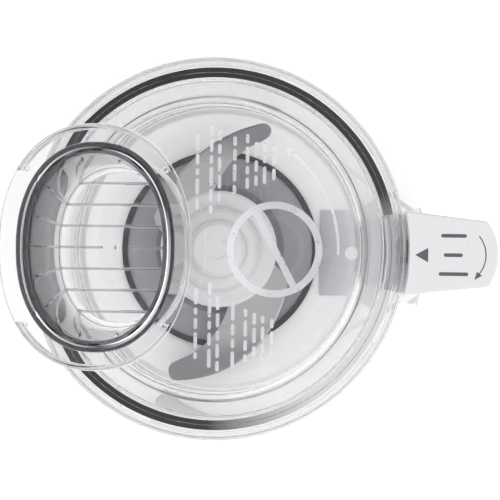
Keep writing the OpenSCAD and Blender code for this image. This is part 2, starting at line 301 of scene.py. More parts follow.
def metal(name, colour, rough=(0.22, 0.38), stretch=(1, 30, 1), scale=60, depth=0.00002, mottle=0.08):
    m, nt, p = nodes_of(name)
    p.inputs["Metallic"].default_value = 1.0
    streak = noise(nt, scale, 6, stretch)
    lo = tuple(c * (1 - mottle) for c in colour)
    nt.links.new(ramp(nt, streak, [(0.3, lo), (0.7, colour)]), p.inputs["Base Color"])
    nt.links.new(remap(nt, streak, *rough), p.inputs["Roughness"])
    bump(nt, p, noise(nt, scale * 3, 4, stretch), 0.2, depth)
    return m


def frosted(name):
    """Raised, etched marks: the same clear plastic with a ground surface."""
    m, nt, p = nodes_of(name)
    p.inputs["Base Color"].default_value = (0.93, 0.93, 0.94, 1)
    p.inputs["Transmission Weight"].default_value = 0.8
    p.inputs["IOR"].default_value = 1.45
    nt.links.new(remap(nt, noise(nt, 300, 3), 0.25, 0.4), p.inputs["Roughness"])
    bump(nt, p, noise(nt, 1200, 2), 0.3, 0.00003)
    return m


def radius_node(nt):
    """Distance from the machine's vertical axis, in metres."""
    tc = nt.nodes.new("ShaderNodeTexCoord")
    ml = nt.nodes.new("ShaderNodeVectorMath")
    ml.operation = "MULTIPLY"
    ml.inputs[1].default_value = (1, 1, 0)
    nt.links.new(tc.outputs["Object"], ml.inputs[0])
    ln = nt.nodes.new("ShaderNodeVectorMath")
    ln.operation = "LENGTH"
    nt.links.new(ml.outputs["Vector"], ln.inputs[0])
    return ln.outputs["Value"]


def cover_grey_painted_shade(name):
    """Grey plate over the interlock channel, with painted shade: darker towards the hub, paler towards the rim."""
    m, nt, p = nodes_of(name)
    # painted shade: the grey darkens towards the hub
    step = remap(nt, radius_node(nt), 0.0, 1.0, 0.060, 0.086)
    nt.links.new(ramp(nt, step, [(0.0, (0.36, 0.363, 0.37)), (1.0, (0.68, 0.683, 0.69))]), p.inputs["Base Color"])
    nt.links.new(remap(nt, noise(nt, 140, 5), 0.35, 0.5), p.inputs["Roughness"])
    bump(nt, p, noise(nt, 900, 2), 0.25, 0.000005)
    return m


def shell_white_painted_light(name):
    """White shell with painted light: the raised platform under the bowl is painted brighter, and the walls below it
    darker, for how light falls there.
    """
    m, nt, p = nodes_of(name)
    tc = nt.nodes.new("ShaderNodeTexCoord")
    sp = nt.nodes.new("ShaderNodeSeparateXYZ")
    nt.links.new(tc.outputs["Object"], sp.inputs["Vector"])
    # painted light: brighter above the platform's edge, darker below it
    step = remap(nt, sp.outputs["Z"], 0.0, 1.0, 0.1018, 0.1026)
    nt.links.new(ramp(nt, step, [(0.0, (0.56, 0.56, 0.556)), (1.0, (0.85, 0.85, 0.846))]), p.inputs["Base Color"])
    nt.links.new(remap(nt, noise(nt, 140, 5), 0.3, 0.34), p.inputs["Roughness"])
    bump(nt, p, noise(nt, 900, 2), 0.1, 0.000004)
    return m


def blade_steel_painted_shade(name):
    """Satin blade steel with painted shade: the colour darkens towards the tips."""
    m, nt, p = nodes_of(name)
    p.inputs["Metallic"].default_value = 1.0
    # painted shade: darker towards the blade tips
    tone = remap(nt, radius_node(nt), 0.0, 1.0, 0.028, 0.08)
    nt.links.new(ramp(nt, tone, [(0.0, (0.66, 0.655, 0.66)), (0.45, (0.6, 0.595, 0.6)), (0.68, (0.36, 0.36, 0.37)), (1.0, (0.3, 0.3, 0.31))]), p.inputs["Base Color"])
    nt.links.new(remap(nt, noise(nt, 60, 6, (1, 8, 1)), 0.27, 0.33), p.inputs["Roughness"])
    return m


def seat_with_painted_shade(name):
    """Seat plate with painted shade: darker inside the step, where shade falls under the hub."""
    m, nt, p = nodes_of(name)
    # painted shade inside the step
    step = remap(nt, radius_node(nt), 0.0, 1.0, 0.0388, 0.0392)
    nt.links.new(ramp(nt, step, [(0.0, (0.19, 0.19, 0.198)), (1.0, (0.32, 0.323, 0.335))]), p.inputs["Base Color"])
    nt.links.new(remap(nt, noise(nt, 140, 5), 0.35, 0.5), p.inputs["Roughness"])
    bump(nt, p, noise(nt, 900, 2), 0.25, 0.00002)
    return m


MAT = {
    "clear": clear_plastic("clear_copolyester"),
    "frosted": frosted("frosted_marks"),
    # seat: painted shade, darker inside the step under the hub
    "seat": seat_with_painted_shade("seat_painted_shade_inside_step"),
    "clear_tube": clear_plastic("clear_tube_plastic", density=22.0),
    "clear_feed": clear_plastic("clear_feed_plastic", density=38.0),
    "rib": clear_plastic("clear_rib_plastic", density=200.0),
    # base white: painted light, a brighter platform under the bowl and darker walls below
    "base_white": shell_white_painted_light("base_shell_white"),
    "handle_white": plastic("handle_white", (0.58, 0.58, 0.585), (0.26, 0.38), coat=0.1, mottle=0.008),
    "hub_white": plastic("hub_white", (0.64, 0.64, 0.645), (0.25, 0.4), mottle=0.01),
    "inner_white": plastic("inner_white", (0.75, 0.75, 0.73), (0.45, 0.6)),
    "grey": plastic("seat_grey", (0.42, 0.425, 0.44), (0.35, 0.5)),
    # cover grey: painted shade, darker towards the hub
    "grey_light": cover_grey_painted_shade("cover_grey_painted_shade"),
    "rod": plastic("rod_grey", (0.5, 0.5, 0.52), (0.35, 0.5)),
    "dark": plastic("dark_plastic", (0.03, 0.03, 0.033), (0.4, 0.55)),
    "print": plastic("grey_print", (0.07, 0.07, 0.08), (0.4, 0.5), mottle=0.0),
    "rubber": plastic("rubber", (0.025, 0.025, 0.028), (0.6, 0.85), grain=1500, depth=0.00005),
    "board": plastic("board_green", (0.02, 0.12, 0.05), (0.3, 0.45)),
    # steel: painted shade, darker towards the blade tips
    "steel": blade_steel_painted_shade("satin_blade_steel"),
    "bright": metal("turned_steel", (0.68, 0.68, 0.69), (0.12, 0.25), (1, 1, 40)),
    "zinc": metal("zinc_screw", (0.6, 0.6, 0.6), (0.3, 0.45), (1, 1, 1), 200),
    "alloy": metal("cast_alloy", (0.6, 0.6, 0.61), (0.4, 0.6), (1, 1, 1), 300, 0.0001),
    "lamination": metal("laminated_iron", (0.3, 0.3, 0.32), (0.35, 0.5), (1, 1, 60), 40),
    "copper": metal("enamelled_copper", (0.55, 0.22, 0.08), (0.25, 0.4), (1, 1, 30), 80),
}


def paint(node, key):
    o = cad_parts[node]
    for s in o.material_slots:
        s.material = MAT[key]
    return o


def finish_piece(o, key, body, replaces=(), ang=32, weighted=True):
    o.data.materials.clear()
    o.data.materials.append(MAT[key])
    smooth(o, ang, weighted)
    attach(o, body)
    if replaces:
        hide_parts(*replaces)
    return o


# ------------------------------------------------------------------ clear bowl
def bowl_in(z):
    return BOWL_R0 + (BOWL_R1 - BOWL_R0) * (z - 121.5) / (RIM_Z - 121.5)


def make_bowl():
    outer_floor = BOWL_R0 + BOWL_WALL
    pts = [
        (13, 119), (86.6, 119), (86.6, 107.2), (89.2, 107.2), (outer_floor, 121.5), (BOWL_R1 + BOWL_WALL, RIM_Z),
        (BOWL_R1, RIM_Z), (BOWL_R0, 121.5), (15.5, 121.5), (15.5, 150), (13, 150),
    ]
    rad = [0.3, 1.0, 0.6, 0.6, 0, 0.7, 0.7, 2.6, 1.5, 0.6, 0.6]
    bowl = lathe("bowl_clear", rounded(pts, rad, 6))
    lugs = []
    for a in (65, 155, 245, 335):
        lug = lathe("lug", rounded([(93.2, 220.6), (96.4, 220.6), (96.4, 223), (93.2, 223.9)], [0, 0.5, 0.5, 0], 3), 16, a - 6, a + 6)
        lugs.append(lug)
    boolean(bowl, joined("lugs", lugs))
    return finish_piece(bowl, "clear", "bowl", ["bowl"])


# ------------------------------------------------------------------ clear lid with feed tube
def make_lid():
    # the collar is solid above an inclined pocket, and the inner lip ends in a slanted edge
    pts = [
        (0, LID_Z - 3), (FACE_R - 1.4, LID_Z - 3), (FACE_R + 1.2, 228.8), (88, 228.8), (88, 221.7), (90.4, 219.4), (90.7, 219.4), (90.7, 227.4), (89.4, 228.8),
        (89.4, 234.05), (92.15, 231.5), (92.45, 231.5), (95.2, 229.0), (LID_R - 2.5, 229.0), (LID_R - 2.5, 216), (LID_R, 216), (LID_R, LID_Z), (88.2, LID_Z), (87.6, 231.3),
        (FACE_R + 3.2, 231.3), (FACE_R, LID_Z), (0, LID_Z),
    ]
    rad = [0, 1.2, 2.0, 0.8, 0.2, 0, 0, 0.3, 0.3, 0.1, 0, 0, 0.4, 0.5, 0.5, 0.5, 1.3, 0.8, 0.6, 1.8, 2.4, 0]
    lid = lathe("lid_clear", rounded(pts, rad, 6))
    extra = []
    for a in (65, 155, 245, 335):
        extra.append(lathe("rib", rounded([(96.9, 216.4), (LID_R - 2.2, 216.2), (LID_R - 2.2, 219.4), (96.9, 219.2)], [0.3, 0, 0, 0.3], 2), 12, a - 5, a + 5))
    boolean(lid, joined("ribs", extra))
    lug = lathe("lug_low", rounded([(LID_R - 0.6, 218), (110.6, 218), (110.6, 226.2), (LID_R - 0.6, 227.2)], [0, 0.8, 1.2, 0], 4), 30, -15, 0.1)
    boolean(lid, lug)
    lug = lathe("lug_high", rounded([(LID_R - 0.6, 220.2), (110.6, 220.2), (110.6, 226.2), (LID_R - 0.6, 227.2)], [0, 0.8, 1.2, 0], 4), 24, 0.05, 12)
    boolean(lid, lug)
    # the tube flares a little where it meets the lid
    boolean(lid, oval_loft("hole", TUBE_W + 0.06, TUBE_L + 0.06, [(0, 220), (0, 240)]), "DIFFERENCE")
    sections = [(0, 226.2), (0, LID_Z + 0.02), (-1.5, LID_Z + 0.02), (-1.5, 235.15), (-0.9, 235.35), (-0.35, 235.9), (0, 237.2), (0, TUBE_TOP - 0.8), (0.25, TUBE_TOP - 0.2), (0.8, TUBE_TOP)]
    tube = oval_loft("tube_clear", TUBE_W, TUBE_L, sections)
    w = TUBE_WALL
    cut = oval_loft("tube_cut", TUBE_W, TUBE_L, [(w - 0.9, 224), (w - 0.9, 226.1), (w - 0.2, 227), (w, 228), (w, TUBE_TOP - 0.8), (w - 0.25, TUBE_TOP - 0.2), (w - 0.8, TUBE_TOP + 0.02), (w - 0.8, 340)])
    boolean(tube, cut, "DIFFERENCE")
    finish_piece(tube, "clear_feed", "lid", ["feed_tube"])
    marks = make_emboss()
    finish_piece(marks, "frosted", "lid", [])
    return finish_piece(lid, "clear", "lid", ["lid_disc"])


def pill(x0, x1, y, h, z1, z2, along_y=False, n=6):
    """A raised bar with rounded ends."""
    r = h / 2
    pts = arc(x1 - r, y, r, -90, 90, n) + arc(x0 + r, y, r, 90, 270, n)
    if along_y:
        pts = [(-b, a) for a, b in pts]
    return extruded("bar", pts, z1, z2)


def make_emboss():
    z1, z2 = LID_Z + 0.01, LID_Z + 0.3
    out = []
    # ring with a slash
    cx, cy = 31.1, 0.0
    ring = lathe("ring", [(21.3, z1), (25.0, z1), (25.0, z2 - 0.1), (24.8, z2), (21.5, z2), (21.3, z2 - 0.1)], 128)
    for v in ring.data.vertices:
        v.co.x += cx * MM
    slash = box("slash", (-22, -1.8, z1), (22, 1.8, z2))
    a = math.radians(-62)
    for v in slash.data.vertices:
        x, y = v.co.x, v.co.y
        v.co.x, v.co.y = x * math.cos(a) - y * math.sin(a) + cx * MM, x * math.sin(a) + y * math.cos(a)
    boolean(ring, slash)
    out.append(ring)
    # turn arrow
    out.append(lathe("arrow", [(63.6, z1), (65.0, z1), (65.0, z2), (63.6, z2)], 72, -2, 51))
    t = math.radians(52)
    tip = Vector((64.3 * math.cos(t), 64.3 * math.sin(t)))
    d, nrm = Vector((-math.sin(t), math.cos(t))), Vector((math.cos(t), math.sin(t)))
    head = [tip + d * 5.5, tip - d * 0.2 + nrm * 2.6, tip - d * 0.2 - nrm * 2.6]
    out.append(extruded("head", [tuple(p) for p in head][::-1], z1, z2))
    out.append(cylinder("dot", 3.4, z1, z2, 40, (71.2, -1.4)))
    # rows of plain raised dashes on both sides of the ring
    rows = [(-9.6, 0), (-2.4, 1), (1.9, 2), (9.8, 3), (16.4, 4), (21.0, 5), (25.4, 6), (30.2, 7)]
    lengths = [(9.5, 14, 6), (16, 7.5, 11), (12, 12, 8.5), (8, 15, 10), (14, 9.5, 7), (10, 13, 9), (15, 6.5, 12), (11, 10, 8)]
    starts = [(20.5, -20.5), (18.0, -17.5), (24.5, -24.5), (28.5, -28.0), (31.5, -31.0), (33.0, -33.0), (34.0, -34.5), (36.0, -36.0)]
    ends = [(60, -62), (64, -66), (62, -64), (61, -63), (60, -61), (58, -60), (57, -58), (55, -56)]
    for (x, i) in rows:
        for side in (0, 1):
            y = starts[i][side]
            end = ends[i][side]
            s = 1 if end > y else -1
            k = i + side
            while abs(y) < abs(end) - 3:
                ln = lengths[i][k % 3] * 0.62
                k += 1
                y2 = y + s * ln
                if abs(y2) > abs(end):
                    y2 = end
                if abs(y2 - y) > 2.4:
                    out.append(pill(min(y, y2), max(y, y2), -x, 1.9, z1, z2, True))
                y = y2 + s * 1.6
    return joined("lid_marks", out)


# ------------------------------------------------------------------ pusher cup
TOP_RIDGE = 312.0


def make_pusher():
    t = 2.0
    fr = 3.0
    outer = [(3.2, CUP_Z), (1.6, CUP_Z + 0.35), (0.6, CUP_Z + 1.3), (0.25, CUP_Z + 3.0), (0, CUP_Z + 30), (0, TUBE_TOP + 1.95), (-1.6, TUBE_TOP + 0.35), (-1.9, TUBE_TOP + 0.3)]
    bw = (86.0 - CUP_W) / 2
    bl = (110.6 - CUP_L) / 2
    loops = []

    def loop(dx, dy, z):
        return [(TUBE_X + x, y, z) for x, y in oval_loop(CUP_W - 2 * dx, CUP_L - 2 * dy)]

    for d, z in outer:
        loops.append(loop(d, d, z))
    top = TUBE_TOP + 2.5
    loops.append(loop(-bw + 0.6, -bl + 0.6, TUBE_TOP + 0.3))
    loops.append(loop(-bw + 0.1, -bl + 0.1, TUBE_TOP + 0.7))
    loops.append(loop(-bw, -bl, TUBE_TOP + 1.2))
    loops.append(loop(-bw, -bl, top - 0.9))
    loops.append(loop(-bw + 0.25, -bl + 0.25, top - 0.3))
    loops.append(loop(-bw + 0.9, -bl + 0.9, top))
    loops.append(loop(t - 1.2, t - 1.2, top))
    loops.append(loop(t - 0.4, t - 0.4, top - 0.25))
    loops.append(loop(t, t, top - 1.0))
    # inner wall draws in towards the floor
    for k in range(1, 9):
        f = k / 8
        loops.append(loop(t + 0.45 * f, t + 0.45 * f, top - 1.0 - (top - 1.0 - (CUP_Z + 2.2 + fr)) * f))
    for k in range(1, 7):
        a = math.radians(90 * k / 6)
        d = t + 0.45 + fr * (1 - math.cos(a))
        loops.append(loop(d, d, CUP_Z + 2.2 + fr - fr * math.sin(a)))
    cup = loft("pusher_clear", loops)
    # deep skirts at both ends of the brim
    skirts = oval_loft("skirts", 86.0, 110.6, [(0, 322.2), (0.1, 321.7), (0.5, 321.5), (1.5, 321.5), (1.9, 321.7), (2.0, 322.2), (2.0, TUBE_TOP + 1.0), (0.05, TUBE_TOP + 1.0)], ring=True)
    gap = box("gap", (TUBE_X - 60, -34, 310), (TUBE_X + 60, 34, 345))
    boolean(skirts, gap, "DIFFERENCE")
    boolean(cup, skirts)
    ribs = []
    for i in range(-3, 4):
        y = i * 11.1
        hw = (CUP_W / 2 - t - 0.2) * (1 - (abs(y) / (CUP_L / 2 - t)) ** 2.2) ** (1 / 2.2)
        z0, z1 = CUP_Z + 2.22, CUP_Z + 6.2
        spans = [(-hw, -7.5), (7.5, hw)] if i == 0 else [(-hw, hw)]
        for a, b in spans:
            prof = rounded([(y - 0.75, z0), (y + 0.75, z0), (y + 0.55, z1), (y - 0.55, z1)], [0, 0, 0.4, 0.4], 3)
            ribs.append(loft("rib", [[(TUBE_X + a, p, q) for p, q in prof], [(TUBE_X + b, p, q) for p, q in prof]]))
    ribs = joined("pusher_ribs", ribs)
    finish_piece(ribs, "rib", "pusher", [])
    # each rib runs on as a fine ridge up the wall, drifting towards the ends of the oval
    ridges = []
    for i in range(-3, 4):
        for side in (-1, 1):
            y = i * 11.1
            path = []
            for k in range(25):
                f = k / 24
                z = CUP_Z + 6 + (TOP_RIDGE - CUP_Z - 6) * f
                a, b = CUP_W / 2 - t - 0.62 - 0.45 * (1 - f), CUP_L / 2 - t - 0.62 - 0.45 * (1 - f)
                yy = y * (1 + 0.22 * f ** 1.4)
                yy = max(-b * 0.97, min(b * 0.97, yy))
                path.append((TUBE_X + side * a * (1 - (abs(yy) / b) ** 2.2) ** (1 / 2.2), yy, z))
            ridges.append(loft("ridge", [[(x + 0.42 * math.cos(2 * math.pi * j / 10), q + 0.42 * math.sin(2 * math.pi * j / 10), z) for j in range(10)] for x, q, z in path]))
    ridges = joined("pusher_ridges", ridges)
    finish_piece(ridges, "rib", "pusher", [])
    studs = []
    for sx in (-31.3, 31.3):
        for sy in (-35.0, 35.0):
            stud = lathe("stud", rounded([(0, 328.9), (1.5, 328.9), (1.5, TUBE_TOP + 0.9), (0, TUBE_TOP + 0.9)], [0, 0.7, 0, 0], 4), 20)
            for v in stud.data.vertices:
                v.co.x += (TUBE_X + sx) * MM
                v.co.y += sy * MM
            studs.append(stud)
    boolean(cup, joined("studs", studs))
    dot = lathe("gate", [(0, CUP_Z + 1.5), (1.4, CUP_Z + 1.5), (1.4, CUP_Z + 2.5), (0.9, CUP_Z + 2.8), (0, CUP_Z + 2.8)], 24)
    for v in dot.data.vertices:
        v.co.x += TUBE_X * MM
    boolean(cup, dot)
    return finish_piece(cup, "clear_tube", "pusher", ["pusher"])


# ------------------------------------------------------------------ blade
def wing_outline(kind):
    """(outer ground edge, inner edge), both from root to tip and back."""
    if kind == "low":
        out = arc(-25.1, -12.7, 66.5, -6, -91.0, 60)
        root = [(30, -6), (35.6, -11.2), (39.4, -15.5)]
        tip = [(-28.0, -78.4), (-29.3, -76.4), (-29.8, -74.0), (-29.6, -71.6), (-28.6, -69.6), (-26.9, -68.3), (-24.6, -67.3)]
        inner = arc(-39.9, -22.5, 47.1, -69.5, -6, 36)
    else:
        out = arc(43.5, -10.3, 86.4, 160.8, 102.6, 60)
        root = [(-30, 6), (-34.2, 10.4), (-37.2, 14.6)]
        tip = [(26.3, 74.0), (28.0, 73.4), (29.4, 72.0), (30.0, 70.2), (29.8, 68.2), (28.8, 66.4), (27.2, 65.0), (25.0, 63.9)]
        inner = arc(42.3, 18.9, 47.9, 111.5, 176, 36)
    return root, out, tip, inner


def make_wing(name, kind, z, node):
    root, out, tip, inner = wing_outline(kind)
    t = WING_T
    # ground outer edge: the top face stops short of the edge and slopes down to it
    c = Vector((-25.1, -12.7)) if kind == "low" else Vector((43.5, -10.3))
    n0, n1, n2 = len(root), len(out), len(tip)
    grind = 1.3
    outline = root + out + tip + inner
    N = len(outline)

    def inset(i):
        p = Vector(outline[i])
        if i < n0:
            return tuple(p)
        if i < n0 + n1:
            f = (i - n0) / (n1 - 1)
            g = grind * min(1, 5 * f)
            return tuple(p + (c - p).normalized() * g)
        if i < n0 + n1 + n2:
            f = (i - n0 - n1) / (n2 - 1)
            g = grind * (1 - f) * 0.9 + 0.3 * f
            mid = Vector((-22.0, -73.5)) if kind == "low" else Vector((22.5, 69.0))
            return tuple(p + (mid - p).normalized() * g)
        return tuple(p)

    def lift(i):
        return 0.3 if n0 + 3 <= i < n0 + n1 + n2 - 1 else t - 0.25

    verts, faces = [], []
    verts += [(x, y, z) for x, y in outline]
    verts += [(outline[i][0], outline[i][1], z + lift(i)) for i in range(N)]
    verts += [(*inset(i), z + t) for i in range(N)]
    faces.append(tuple(reversed(range(N))))
    faces.append(tuple(range(2 * N, 3 * N)))
    for i in range(N):
        q = (i + 1) % N
        faces.append((i, q, N + q, N + i))
        faces.append((N + i, N + q, 2 * N + q, 2 * N + i))
    wing = from_data(name, verts, faces)
    disc = lathe("ring", [(19, z), (30, z), (30, z + t), (19, z + t)], 96)
    boolean(wing, disc)
    bm = bmesh.new()
    bm.from_mesh(wing.data)
    bmesh.ops.triangulate(bm, faces=[f for f in bm.faces if len(f.verts) > 4])
    bm.to_mesh(wing.data)
    bm.free()
    return finish_piece(wing, "steel", "blade", [node], 20)


def make_hub():
    pts = [
        (17, 124), (34, 124), (34, 134), (31, 136), (31, 146), (34, 148), (34, 152.5), (32.2, 154.5), (25.5, 155.5), (24, 158),
        (23, 170), (21, 173.4), (17.5, 174.5), (14.2, 174.5), (14.2, 154.5), (17, 151.5),
    ]
    rad = [0.5, 1, 0.8, 2, 2, 0.8, 1, 1.2, 1.5, 1.5, 1.5, 1.2, 0.4, 0.3, 0.3, 0.5]
    hub = lathe("hub_body", rounded(pts, rad, 4), 192)
    finish_piece(hub, "hub_white", "blade", ["blade_hub"])
    pts = [(0, 175.5), (14, 175.5), (14, 174.6), (16.2, 174.6), (15.7, 182.2), (13.6, 185.4), (6, 186.3), (5.2, 185.7), (0, 185.7)]
    cap = lathe("hub_top", rounded(pts, [0, 0, 0.2, 0.5, 1.5, 2.5, 0.3, 0.3, 0], 5), 128)
    finish_piece(cap, "hub_white", "blade", ["hub_cap"])


# ------------------------------------------------------------------ handle
def half_width(x, side):
    """Half the cover's width at x, on the +Y side (1) or the -Y side (-1)."""
    if side > 0:
        pts = [(80, 22.4), (100, 21.2), (148, 15.6), (152, 15)]
    else:
        pts = [(80, 24), (100, 22.9), (148, 18.8), (152, 18)]
    for (x0, y0), (x1, y1) in zip(pts, pts[1:]):
        if x <= x1:
            return y0 + (y1 - y0) * (x - x0) / (x1 - x0)
    return pts[-1][1]


def cover_outline(shrink=0.0, r_in=LID_R + 1.6, n_arc=40):
    """Outline of the handle cover seen from above."""
    cx, cy, r = 118.0, -1.6, 30.2 - shrink
    top, bottom = [], []
    a = 0.0
    pts = []
    # rounded end, where the circle meets the straight flanks
    end = []
    for i in range(n_arc + 1):
        t = math.radians(-60 + 120 * i / n_arc)
        x, y = cx + r * math.cos(t), cy + r * math.sin(t)
        if y <= half_width(x, 1) - shrink and y >= -(half_width(x, -1) - shrink):
            end.append((x, y))
    x = end[-1][0]
    hi = [(x + 0.25, half_width(x, 1) - shrink)] if False else []
    # inner edge follows the lid
    yi = half_width(r_in, 1) - shrink
    a1 = math.degrees(math.asin(yi / r_in))
    yj = half_width(r_in, -1) - shrink
    a0 = -math.degrees(math.asin(yj / r_in))
    inner = arc(0, 0, r_in, a1, a0, 32)
    return end + hi + inner


def make_cover():
    loops = []
    base = cover_outline(0.0)
    outline = rounded(base, [0.0] * len(base), 1)
    k = len(outline)
    # the bevel rounds the four corners a little
    corners = extruded("handle_cover_shell", outline, 228.0, 233.6)
    bevel(corners, 1.1, 4, 30)
    baked(corners)
    return finish_piece(corners, "handle_white", "bowl", ["handle_cover"])


def make_grip():
    prof = [
        (94.6, 213.8), (112.5, 213.8), (112.5, 227.9), (149.6, 227.9), (149.4, 200), (148.8, 150), (147.6, 109.2), (129.0, 109.2), (126.5, 112.4),
        (91.0, 112.4), (91.4, 126.6), (118, 127.2), (126.3, 132), (127.2, 150), (127.2, 178), (126.0, 193), (118, 198.2), (94.5, 198.2),
    ]
    rad = [1, 1, 1, 1.5, 40, 60, 6, 3, 6, 1, 1, 12, 14, 40, 40, 16, 14, 1]
    outline = rounded(prof, rad, 8)
    cols = []
    for f in (-1.0, -0.5, 0.0, 0.5, 1.0):
        loop = []
        for x, z in outline:
            up = half_width(min(x, 148.0), 1) - 1.3
            dn = half_width(min(x, 148.0), -1) - 1.3
            # slimmer where the fingers go round
            g = 1.0 - 0.16 * math.exp(-(((z - 162) / 34) ** 2)) * min(1, max(0, (x - 112) / 10))
            if z < 128:
                g *= 0.96
            y = f * (up if f > 0 else dn) * g
            loop.append((x, y, z))
        cols.append(loop)
    grip = loft("handle_grip_shell", cols)
    # the end is rounded in plan, like the cover
    for v in grip.data.vertices:
        x, y = v.co.x / MM, v.co.y / MM
        dy = y + 1.6
        lim = 118 + math.sqrt(max(0.0, 29.0 ** 2 - dy * dy))
        if x > 140:
            v.co.x = min(x, 140 + (x - 140) * (lim - 140) / 10.0) * MM
    bevel(grip, 2.6, 4, 32)
    baked(grip)
    # channel of the rod, open at the slot of the lid's lug and at the foot
    cut = box("c1", (130.4, -3.6, 100), (137.6, 3.6, 214))
    boolean(grip, cut, "DIFFERENCE")
    cut = box("c2", (100.6, -6.4, 203.4), (137.6, 6.4, 213.9))
    boolean(grip, cut, "DIFFERENCE")
    cut = box("c3", (90, -6.4, 210), (112.3, 6.4, 216))
    boolean(grip, cut, "DIFFERENCE")
    for y in (-13, 10):
        boolean(grip, cylinder("c4", 4.2, 190, 201.4, 40, (119, y)), "DIFFERENCE")
    # the wall of the bowl passes inside the pads
    wall = lathe("wall", [(0, 100), (89.35, 100), (BOWL_R0 + BOWL_WALL + 0.15, 121.5), (BOWL_R1 + BOWL_WALL + 0.15, RIM_Z), (0, RIM_Z)], 128)
    boolean(grip, wall, "DIFFERENCE")
    return finish_piece(grip, "handle_white", "bowl", ["handle_grip"])


def make_marks():
    z1, z2 = 233.45, 233.66
    out = []
    out.append(extruded("tri", [(104.6, -1.8), (111.4, -5.6), (111.4, 1.9)], z1, z2))
    out.append(pill(118.0, 131.5, 8.4, 1.9, z1, z2))
    out.append(pill(119.5, 129.5, -1.7, 1.9, z1, z2))
    out.append(pill(117.0, 132.5, -11.6, 1.9, z1, z2))
    # thin bent arrow towards the opening side
    c, r = (126.0, -1.6), 15.6
    a = arc(c[0], c[1], r + 0.3, 40, -38, 40)
    b = arc(c[0], c[1], r - 0.3, -38, 40, 40)
    out.append(extruded("bow", (a + b)[::-1], z1, z2))
    t = math.radians(-38)
    p = Vector((c[0] + r * math.cos(t), c[1] + r * math.sin(t)))
    d = Vector((math.sin(t), -math.cos(t)))
    nrm = Vector((math.cos(t), math.sin(t)))
    out.append(extruded("bow_head", [tuple(p + d * 4.2), tuple(p - nrm * 1.7), tuple(p + nrm * 1.7)], z1, z2))
    marks = joined("handle_print", out)
    bm = bmesh.new()
    bm.from_mesh(marks.data)
    bmesh.ops.recalc_face_normals(bm, faces=bm.faces)
    bm.to_mesh(marks.data)
    bm.free()
    return finish_piece(marks, "print", "bowl", [])


# ------------------------------------------------------------------ motor base
def teardrop(grow, n1=160, n2=56):
    R, r, d = BASE_R + grow, NOSE_R + grow, NOSE_X
    phi = math.degrees(math.acos((R - r) / d))
    a = arc(0, 0, R, phi, 360 - phi, n1)
    b = arc(d, 0, r, -phi, phi, n2)
    out = a
    # points along the straight flanks, so that lofts stay even
    flank = 14
    p, q = Vector(a[-1]), Vector(b[0])
    out += [tuple(p.lerp(q, k / flank)) for k in range(1, flank)]
    out += b
    p, q = Vector(b[-1]), Vector(a[0])
    out += [tuple(p.lerp(q, k / flank)) for k in range(1, flank)]
    return out


def make_housing():
    sections = [(-1.8, 8.0), (-0.9, 8.4), (-0.3, 9.4), (0, 11.0), (0, 40), (-0.2, 70), (-0.6, 92), (-0.8, 95.5)]
    for k in range(1, 9):
        a = math.radians(90 * k / 8)
        sections.append((-0.8 - 8.5 * (1 - math.cos(a)), 95.5 + 8.5 * math.sin(a)))
    outer = loft("base_shell", [[(x, y, z) for x, y in teardrop(g)] for g, z in sections])
    # raised seat of the bowl
    seat = lathe("seat", rounded([(0, 100), (83.5, 100), (83.5, 116), (0, 116)], [0, 0, 1.6, 0], 5), SEG)
    boolean(outer, seat)
    boss = lathe("boss", rounded([(0, 100), (6.4, 100), (6.4, 106.2), (0, 106.2)], [0, 0, 1.0, 0], 4), 48)
    for v in boss.data.vertices:
        v.co.x += 134 * MM
    boolean(outer, boss)
    inner = loft("inside", [[(x, y, z) for x, y in teardrop(g)] for g, z in [(-3, 7), (-3, 90), (-6, 95), (-12, 100.4)]])
    boolean(outer, inner, "DIFFERENCE")
    boolean(outer, cylinder("room", 80.5, 96, 113, 128), "DIFFERENCE")
    boolean(outer, cylinder("bore", 13.5, 110, 118, 96), "DIFFERENCE")
    boolean(outer, cylinder("bore2", 3.4, 96, 110, 40, (134, 0)), "DIFFERENCE")
    cuts = []
    for a in range(62, 83, 6):
        for s in (-1, 1):
            ang = math.radians(90 + s * (a - 40))
            c = extruded("slot", rounded([(-1.4, 44), (1.4, 44), (1.4, 78), (-1.4, 78)], 1.39, 5), 84, 97)
            for v in c.data.vertices:
                u, w, h = v.co.x, v.co.y, v.co.z
                r = h
                v.co.x = r * math.cos(ang) - u * math.sin(ang)
                v.co.y = r * math.sin(ang) + u * math.cos(ang)
                v.co.z = w
            cuts.append(c)
    slots = joined("slots", cuts)
    bm = bmesh.new()
    bm.from_mesh(slots.data)
    bmesh.ops.recalc_face_normals(bm, faces=bm.faces)
    bm.to_mesh(slots.data)
    bm.free()
    boolean(outer, slots, "DIFFERENCE")
    # cord outlet collar
    collar = lathe("collar", rounded([(7.1, 86), (11, 86), (11, 94.6), (7.1, 94.6)], [0, 0, 1.2, 0.4], 4), 64)
    for v in collar.data.vertices:
        x, y, z = v.co
        v.co = (x, z, 0.022 - y)
    bm = bmesh.new()
    bm.from_mesh(collar.data)
    bmesh.ops.recalc_face_normals(bm, faces=bm.faces)
    bm.to_mesh(collar.data)
    bm.free()
    hole = cylinder("hole", 7.1, 80, 100, 48)
    for v in hole.data.vertices:
        x, y, z = v.co
        v.co = (x, z, 0.022 - y)
    bm = bmesh.new()
    bm.from_mesh(hole.data)
    bmesh.ops.recalc_face_normals(bm, faces=bm.faces)
    bm.to_mesh(hole.data)
    bm.free()
    boolean(outer, hole, "DIFFERENCE")
    boolean(outer, collar)
    return finish_piece(outer, "base_white", "base", ["base_housing"])


# ------------------------------------------------------------------ build
make_bowl()
make_lid()
make_pusher()
make_wing("blade_wing_lower", "low", LOW_Z, "blade_lower")
make_wing("blade_wing_upper", "high", HIGH_Z, "blade_upper")
make_hub()
make_cover()
make_grip()
make_marks()
make_housing()

